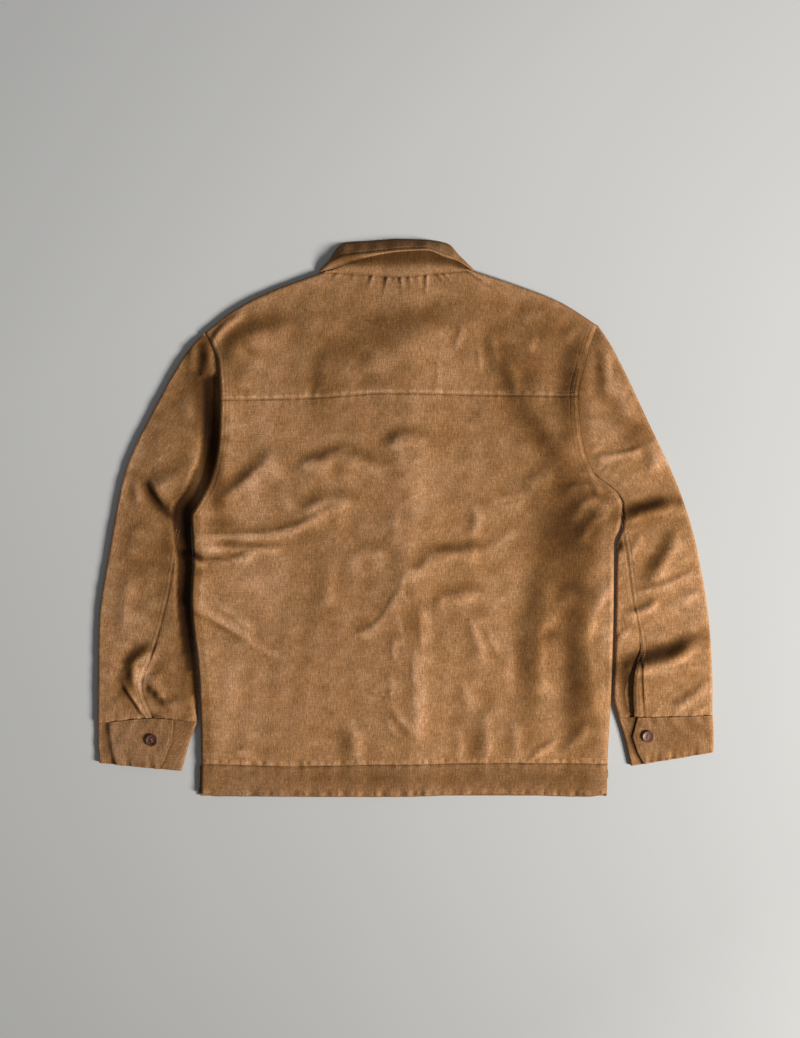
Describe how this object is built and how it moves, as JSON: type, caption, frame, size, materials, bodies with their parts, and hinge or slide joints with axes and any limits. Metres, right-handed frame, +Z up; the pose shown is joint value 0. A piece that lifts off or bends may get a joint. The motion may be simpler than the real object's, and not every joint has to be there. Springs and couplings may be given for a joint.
{
  "type": "suede jacket laid flat",
  "caption": "Boxy button-cuff jacket in brushed suede-like cloth, laid flat on its front with the back, yoke and folded collar up.",
  "frame": {"origin": "middle of the garment's bounding box, on the surface it lies on", "axes": "+Z up off the surface and out of the jacket's back, +Y from the hem towards the collar, +X towards the wearer's right"},
  "size_m": [0.86, 0.7792, 0.0195],
  "materials": {
    "suede_cloth": "brushed, matt",
    "suede_bands": "brushed, matt",
    "brown_button": "satin, horn-like",
    "thread": "matt sewing thread"
  },
  "bodies": {
    "root": {"back_panel": "suede_cloth", "back_yoke": "suede_cloth", "front_left": "suede_cloth", "front_right": "suede_cloth", "collar_stand": "suede_cloth", "collar_leaf": "suede_cloth", "sleeve_left_top": "suede_cloth", "sleeve_left_under": "suede_cloth", "sleeve_right_top": "suede_cloth", "sleeve_right_under": "suede_cloth", "hem_band_back": "suede_bands", "hem_band_front_left": "suede_bands", "hem_band_front_right": "suede_bands", "cuff_left": "suede_bands", "cuff_right": "suede_bands", "cuff_button_left": "brown_button", "cuff_button_right": "brown_button", "front_button_1": "brown_button", "front_button_2": "brown_button", "front_button_3": "brown_button", "front_button_4": "brown_button", "front_button_5": "brown_button", "front_button_6": "brown_button"}
  },
  "joints": []
}
